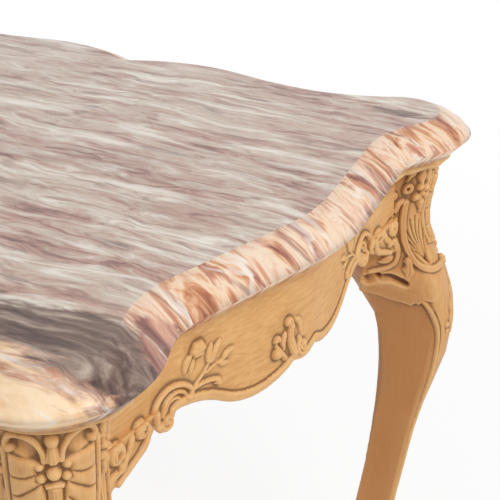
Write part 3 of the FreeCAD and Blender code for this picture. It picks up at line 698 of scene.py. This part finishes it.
def carve_leg():
    """The front right leg, which the other three repeat."""
    def lip(points):
        above = points[:, 2] / MM - (FRAME_TOP / MM - LIP_DEPTH)
        return eased_step(above, -9, -5)

    blank = Blank("leg_front_right", LEG_CELL, LEG_EASING, lip)
    face = LegFace(blank)
    # The lip follows the marble round the sides, and the knee swells under the panel
    lip_swell = (np.clip(LIP_SWELL - 0.63 * face.depth, 0.5 * LIP_SWELL, 2 * LIP_SWELL)
                 * eased_step(face.depth, -52, -42) * eased_step(np.abs(face.width), 30, 44)
                 * eased_step(LIP_DEPTH - face.drop, 0.5, 2))
    lip_fall = (LIP_FALL * eased_step(face.drop, 2, 8) * eased_step(LIP_DEPTH + 1 - face.drop, 0, 0.6)
                * eased_step(np.abs(face.width), 42, 45) * eased_step(28 - face.depth, 0, 12))
    blank.points[:, 2] -= lip_fall * MM
    knee_swell = np.interp(face.drop, (92, 118, 140, 160, 180, 208), (0, 2.5, 3.5, 5.5, 3.5, 0))
    knee_swell *= eased_step(6 - face.past_edge, 0, 14)
    blank.points[:, :2] += blank.normals[:, :2] * ((lip_swell + knee_swell) * MM)[:, None]
    blank.measure()
    sunk = (eased_step(PANEL_HALF - np.abs(face.across), 0, 3) * eased_step(face.drop, 9, 13)
            * eased_step(PANEL_FOOT - face.drop, 0, 10))
    panel = Relief(face.across, face.drop, -PANEL_SUNK * sunk)
    # Roll of the haunch, which stops at a ledge over the plain side
    ledge = np.interp(face.past_edge, (5, 13, 17, 27, 35, 49, 59, 72),
                      (187, 184, 185, 193, 189, 184, 178, 172))
    stands = (eased_step(ledge - face.drop, -0.5, 2.5) * eased_step(face.drop, 134, 152)
              * eased_step(face.past_edge, -8, 16))
    panel.lift(slice(None), HAUNCH_RISE * stands)
    for side in (-1, 1):
        carve_panel(panel, side)
    carve_column(panel)
    # Bead that runs on down the edge from the ledge, and the cuts over the ledge
    border = Relief(face.past_edge, face.drop, panel.height)
    border.cord([(19, 187), (14, 184), (9, 195), (4, 216), (1, 234), (-1, 262), (-2.5, 300), (-3, 420),
                 (-3, 540), (-3, 640)], 3.4, 3.6, end=2.0)
    border.groove([(3, 200), (-2, 216), (-5, 234), (-7.5, 300), (-7, 420), (-6.5, 540), (-6.5, 640)],
                  1.4, 1.2)
    border.groove([(66, 150), (54, 147)], 7.0, 8.0)
    border.groove([(50, 149), (38, 150), (26, 158)], 6.0, 8.0)
    # Scrolled toe
    toe = Relief(face.depth, face.drop, panel.height)
    foot = face.drop > face.drop.max() - 2 * TOE_RADIUS
    toe_front = face.depth[foot].max()
    toe_drop = face.drop[foot][face.depth[foot].argmax()]
    toe.groove(spiral((toe_front - TOE_RADIUS, toe_drop), TOE_RADIUS - 3, -60, -1.6), 1.3, 1.8)
    facing = np.where(face.outer, 1.0, 0.0) * eased_step(face.drop, LIP_DEPTH - 2, LIP_DEPTH)
    facing = averaged(facing[:, None], blank.edges, 2)[:, 0]
    # Painted shade together with the stain: the sides, and the shank below the ledge more, are darkened as
    # faces turned from the light and under the slab
    side_stain_and_shade = np.maximum(eased_step(face.drop - ledge, -1, 3) * SHANK_STAIN_AND_SHADE, SIDE_STAIN_AND_SHADE)
    stain_and_shade_share = FRONT_STAIN + (side_stain_and_shade - FRONT_STAIN) * eased_step(face.past_edge, 0, 5)
    return blank.carved(panel.height * facing, stain_and_shade_share, LEG_KEPT)


# Rails and knee brackets
EDGE_SPACING = 2.0              # of the points along a rail's lower outline
RIM_WIDTH = 8.5                 # moulded rim along the scalloped edge
RIM_HEIGHT = 3.4
RIM_SINK = 0.8                  # how far it is set back again, so that it ends low
RIM_CUT = 0.8                   # line cut beside it
RIM_CUT_HALF = 1.2


def lower_edge(across, drop):
    """The lower outline of a rail's face."""
    band = np.round((across - across.min()) / EDGE_SPACING).astype(int)
    low = np.full(band.max() + 1, -1.0)
    np.maximum.at(low, band, drop)
    seen = np.flatnonzero(low > 0)
    return np.stack([across.min() + seen * EDGE_SPACING, low[seen]], 1)


def carve_apron(face, ear, rim):
    """Scrolls, sprigs and flowers of a rail and its brackets; ear is where the brackets begin."""
    if rim is not None:
        inner = rim[np.abs(rim[:, 0]) < ear - 10]
        near, off, _ = face.measure(inner, RIM_WIDTH + 4)
        raised = off < RIM_WIDTH
        face.lift(near[raised], RIM_HEIGHT * np.sqrt(1 - (1 - off[raised] / RIM_WIDTH) ** 2 * 0.6) - RIM_SINK)
        share = np.abs(off - RIM_WIDTH - 1.0) / RIM_CUT_HALF
        cut = share < 1
        face.height[near[cut]] -= RIM_CUT * (1 - share[cut] ** 2)
    for side in (-1, 1):
        def at(across, drop):
            return side * (ear + across), drop

        def on(points):
            return [at(across, drop) for across, drop in points]

        # Flower with its leaves
        face.dome(at(-51, 39), 8.0, 5.0)
        for turn in range(6):
            angle = 2 * math.pi * turn / 6
            face.dome(at(-51 + 5.4 * math.cos(angle), 39 + 5.0 * math.sin(angle)), 3.4, 4.6)
        face.dome(at(-51, 39), 2.6, 6.2)
        face.eye(at(-53, 42), 1.3, 2.0)
        face.leaf(on([(-43, 42), (-38, 48), (-35, 57)]), 3.4, 2.6)
        face.leaf(on([(-46, 47), (-44, 53), (-42, 60)]), 2.6, 2.2)
        # Sprigs
        face.cord(on([(-44, 74), (-55, 67), (-63, 59), (-70, 50)]), 1.7, 2.4, end=1.0)
        face.leaf(on([(-66, 58), (-71, 48), (-78, 41)]), 3.6, 3.4)
        face.leaf(on([(-63, 57), (-64, 48), (-68, 40)]), 3.0, 3.0)
        face.cord(on([(-60, 66), (-72, 63), (-82, 60)]), 1.4, 2.2, end=0.8)
        face.leaf(on([(-80, 61), (-87, 57), (-95, 56)]), 3.2, 3.0)
        face.leaf(on([(-76, 62), (-81, 66), (-88, 67)]), 2.6, 2.6)
        face.cord(on([(-42, 75), (-56, 74), (-68, 76), (-75, 79)]), 2.2, 3.2, end=2.6)
        face.scroll(at(-74, 82), 4.6, 200, -side * 1.1, 1.7, 3.8)
        # Arching scroll that runs into the volute of the rail's end
        face.cord(on([(-7, 95), (1, 86), (3, 76), (-3, 67), (-18, 61.5), (-33, 65), (-42, 73), (-41, 80)]),
                  3.0, 5.2, end=2.6, cove=1.0)
        face.cord(on([(-8, 84), (-13, 73), (-25, 69), (-34, 73), (-37, 79)]), 2.3, 3.8, end=1.8)
        face.cord(on([(-12, 83), (-17, 76), (-26, 75), (-31, 79)]), 1.6, 2.6, end=1.2)
        face.dome(at(-39.5, 80), 3.6, 5.0)
        face.scroll(at(-13, 91), 9.0, 0 if side > 0 else 180, side * 1.5, 2.4, 5.4)
        # Drilled discs, border and leaves of the bracket
        face.disc(at(23, 78), 8.5, 5.0, 90, -side * 1.25)
        face.eye(at(19.5, 80.5), 3.4, 9.0)
        face.cord(on([(14, 82), (17, 91), (26, 99), (40, 105), (54, 112)]), 3.8, 4.6, cove=1.2)
        face.disc(at(56, 82), 10.0, 4.8, 60, -side * 1.3)
        face.eye(at(55, 84), 3.2, 9.0)
        face.leaf(on([(44, 90), (50, 98), (60, 102)]), 5.0, 4.2, lobes=2)
        face.leaf(on([(58, 98), (66, 104), (70, 116)]), 4.4, 3.8)
        face.leaf(on([(34, 78), (40, 88), (46, 97)]), 3.6, 3.0)


def carve_middle(face):
    """The leafy scroll in the middle of a rail, leaning to one side as rocaille does."""
    face.cord([(-26, 66), (-27, 76), (-24, 86), (-20, 96)], 4.6, 4.6, end=5.4)
    for flute in (-1.7, 1.7):
        face.groove([(flute - 26, 68), (flute - 27, 77), (flute - 24, 86), (flute - 20, 95)], 0.8, 1.4)
    face.cord([(-34, 96), (-38, 90), (-43, 84), (-46, 79)], 3.0, 4.0, end=2.4)
    face.scroll((-30, 61), 7.0, 60, -1.3, 2.3, 5.0)
    face.eye((-28, 63), 1.2, 2.4)
    face.scroll((-44.5, 73), 5.4, 160, 1.2, 1.9, 4.6)
    face.dome((-45, 86.5), 6.4, 6.2)
    face.leaf([(-34, 70), (-37, 78), (-36, 88)], 3.6, 3.6)
    face.scroll((-7, 93), 7.5, 180, -1.2, 2.6, 5.0)
    face.cord([(-13, 84), (-16, 92), (-12, 101), (-4, 104)], 2.6, 4.6)
    face.leaf([(-18, 62), (-12, 68), (-11, 78)], 3.2, 3.0)


APRON_STAIN = 0.12              # share of the darker stain
RAIL_LIP = 21.0                 # how far a rail's lip stands out beside the leg, to meet the leg's own
SEAM_REACH = 5.0                # glued seam between a rail's ear and its bracket, kept crisp
SEAM_LAP = 3.5                  # how far the bracket runs up over the rail, which closes the seam
SEAM_PROUD = 0.25               # and how far it stands proud there


def apron_blank(node, cell, axis, ear):
    """A rail or bracket laid out along the rail and down from the slab, and how far each point faces out."""
    outward = 1 - axis
    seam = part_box("knee_bracket_end_front_right")[1].z

    def flush(points):
        beside = eased_step(np.abs(points[:, axis]) / MM, ear - SEAM_REACH, ear)
        return beside * eased_step(-np.abs(points[:, 2] - seam) / MM, -SEAM_REACH, -SEAM_REACH / 2)

    blank = Blank(node, cell, APRON_EASING, flush)
    if node.startswith("knee_bracket"):
        level = (blank.points[:, 2] - seam) / MM
        lapping = eased_step(level, -SEAM_REACH, -SEAM_REACH / 3)
        blank.points[:, 2] += SEAM_LAP * MM * lapping
        blank.points[:, outward] += np.sign(blank.points[:, outward]) * SEAM_PROUD * MM * lapping
        blank.measure()
    sign = np.sign(sum(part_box(node), Vector())[outward])
    facing = eased_step(blank.normals[:, outward] * sign, 0.1, 0.55)
    face = Relief(blank.points[:, axis] / MM, (FRAME_TOP - blank.points[:, 2]) / MM)
    return blank, face, facing


def carve_rail(node, axis, ear, shoulder):
    """A rail, carved out to where it meets the leg's shoulder."""
    blank, face, facing = apron_blank(node, RAIL_CELL, axis, ear)
    open_face = (facing > 0.9) & (np.abs(face.across) < shoulder)
    carve_apron(face, ear, lower_edge(face.across[open_face], face.drop[open_face]))
    carve_middle(face)
    # Lip under the marble, which begins beside the leg
    lip = (facing * eased_step(np.abs(face.across), ear - 5, ear + 18)
           * eased_step(LIP_DEPTH + LIP_FALL - face.drop, 0.5, 2))
    blank.points[:, 1 - axis] += np.sign(blank.points[:, 1 - axis]) * RAIL_LIP * MM * lip
    blank.measure()
    facing = facing * eased_step(-np.abs(face.across), -shoulder, 2 - shoulder)
    return blank.carved(face.height * facing, np.full_like(facing, APRON_STAIN), RAIL_KEPT)


def carve_bracket(node, axis, ear):
    """A knee bracket, with the part of the rail's ornament that runs on over it."""
    blank, face, facing = apron_blank(node, BRACKET_CELL, axis, ear)
    carve_apron(face, ear, None)
    return blank.carved(face.height * facing, np.full_like(facing, APRON_STAIN), BRACKET_KEPT)


def build_base():
    """Carves one leg, two rails and two brackets, and sets them in all their places."""
    upright = limed_walnut("limed_walnut_upright", "Z")
    crossways = limed_walnut("limed_walnut_end", "Y")
    lengthways = limed_walnut("limed_walnut_side", "X")
    end_bracket, side_bracket = "knee_bracket_end_front_right", "knee_bracket_side_front_right"
    end_ear, end_post = -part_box(end_bracket)[1].y / MM, -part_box(end_bracket)[0].y / MM
    side_ear, side_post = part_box(side_bracket)[0].x / MM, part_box(side_bracket)[1].x / MM
    leg = carve_leg()
    end_rail = carve_rail("rail_end_right", 1, end_ear, end_post)
    side_rail = carve_rail("rail_side_front", 0, side_ear, side_post)
    at_end = carve_bracket(end_bracket, 1, end_ear)
    at_side = carve_bracket(side_bracket, 0, side_ear)
    for corner, (sign_x, sign_y) in CORNERS.items():
        for mesh, node, material in ((leg, "leg_", upright), (at_end, "knee_bracket_end_", crossways),
                                     (at_side, "knee_bracket_side_", lengthways)):
            placed(mesh, node + corner, sign_x, -sign_y, material, "frame")
    for node, turn in (("rail_end_right", 1), ("rail_end_left", -1)):
        placed(end_rail, node, turn, turn, crossways, "frame")
    for node, turn in (("rail_side_front", 1), ("rail_side_rear", -1)):
        placed(side_rail, node, turn, turn, lengthways, "frame")


def finish_inside():
    """Corner blocks and bearers keep their shape and get a sawn face."""
    upright, across = sawn_beech("sawn_beech_upright", "Z"), sawn_beech("sawn_beech_across", "Y")
    for name, node in nodes.items():
        if name.startswith(("corner_block", "cross_bearer")):
            material = upright if name.startswith("corner_block") else across
            node.data.materials.clear()
            node.data.materials.append(material)


FLAT_ANGLE = 0.5                # degrees between faces that are one flat


def build_marble():
    """The slab, with its flat faces in one piece so that they shade flat."""
    mesh = welded_copy("marble_top", FLAT_ANGLE)
    mesh.shade_smooth()
    slab = placed(mesh, "marble_top", 1, 1, polished_marble(), "top")
    evened = slab.modifiers.new("flat_faces_stay_flat", "WEIGHTED_NORMAL")
    evened.weight = 100


# Studio
CAMERA_PLACE = (0.8762, -0.8436, 1.1796)
CAMERA_TILT = 25.2536           # looking down, degrees
CAMERA_TURN = 31.395
CAMERA_LENS = 84.96
CAMERA_SENSOR = 36.0
FLOOR_SIZE = 14.0
LAMP_AIM = Vector((0.1, 0.0, 0.6))


def seen_as_backdrop(tree):
    """1 for what the camera, a reflection or a clear piece sees, 0 for the light on the table."""
    path = add(tree, "ShaderNodeLightPath")
    seen = add(tree, "ShaderNodeMath", {0: path.outputs["Is Camera Ray"], 1: path.outputs["Is Glossy Ray"]},
               operation="MAXIMUM")
    return add(tree, "ShaderNodeMath", {0: seen.outputs[0], 1: path.outputs["Is Transmission Ray"]},
               operation="MAXIMUM").outputs[0]


def build_studio():
    """Camera, white floor, white world and three soft lamps."""
    camera = bpy.data.cameras.new("photo_camera")
    camera.sensor_width = CAMERA_SENSOR
    camera.lens = CAMERA_LENS
    viewer = bpy.data.objects.new("photo_camera", camera)
    viewer.location = CAMERA_PLACE
    viewer.rotation_euler = (math.radians(90 - CAMERA_TILT), 0, math.radians(CAMERA_TURN))
    scene.collection.objects.link(viewer)
    scene.camera = viewer

    # Painted board: a white that cameras and reflections see as white, and that keeps the table's shadow
    board, tree = new_material("painted_board_matt")
    paint = add(tree, "ShaderNodeBsdfDiffuse", {"Color": linear("#FAFAFA")})
    glow = add(tree, "ShaderNodeEmission", {"Color": linear("#FFFFFF"), "Strength": 1.0})
    place = add(tree, "ShaderNodeTexCoord").outputs["Object"]
    away = add(tree, "ShaderNodeVectorMath", {0: place}, operation="LENGTH")
    bright = add(tree, "ShaderNodeMapRange", {
        "Value": away.outputs["Value"], "From Min": 0.5, "From Max": 2.4, "To Min": 0.8},
        interpolation_type="SMOOTHSTEP")
    share = add(tree, "ShaderNodeMath", {0: seen_as_backdrop(tree), 1: bright.outputs["Result"]},
                operation="MULTIPLY")
    lifted = add(tree, "ShaderNodeMixShader", {
        0: share.outputs[0], 1: paint.outputs[0], 2: glow.outputs[0]})
    add(tree, "ShaderNodeOutputMaterial", {"Surface": lifted.outputs[0]})
    sheet = bpy.data.meshes.new("studio_floor")
    reach = FLOOR_SIZE / 2
    sheet.from_pydata([(-reach, -reach, 0), (reach, -reach, 0), (reach, reach, 0), (-reach, reach, 0)],
                      [], [(0, 1, 2, 3)])
    sheet.materials.append(board)
    floor = bpy.data.objects.new("studio_floor", sheet)
    scene.collection.objects.link(floor)

    world = bpy.data.worlds.new("white_studio")
    world.use_nodes = True
    tree = world.node_tree
    tree.nodes.clear()
    soft = add(tree, "ShaderNodeBackground", {"Color": linear("#FFFFFF"), "Strength": 0.5})
    white = add(tree, "ShaderNodeBackground", {"Color": linear("#FFFFFF"), "Strength": 1.0})
    both = add(tree, "ShaderNodeMixShader", {
        0: seen_as_backdrop(tree), 1: soft.outputs[0], 2: white.outputs[0]})
    add(tree, "ShaderNodeOutputWorld", {"Surface": both.outputs[0]})
    scene.world = world

    lamps = (("key_softbox", (2.6, -0.7, 2.7), 1.5, 57.0), ("fill_softbox", (-1.0, -2.6, 2.2), 2.0, 12.0),
             ("back_softbox", (0.5, 2.6, 2.6), 2.0, 18.0))
    for name, place, size, power in lamps:
        light = bpy.data.lights.new(name, "AREA")
        light.shape = "DISK"
        light.size = size
        light.energy = power
        lamp = bpy.data.objects.new(name, light)
        lamp.location = place
        aim = LAMP_AIM - lamp.location
        lamp.rotation_euler = aim.to_track_quat("-Z", "Y").to_euler()
        lamp.visible_glossy = name != "back_softbox"
        scene.collection.objects.link(lamp)


build_base()
finish_inside()
build_marble()
build_studio()
scene.view_settings.view_transform = "Standard"
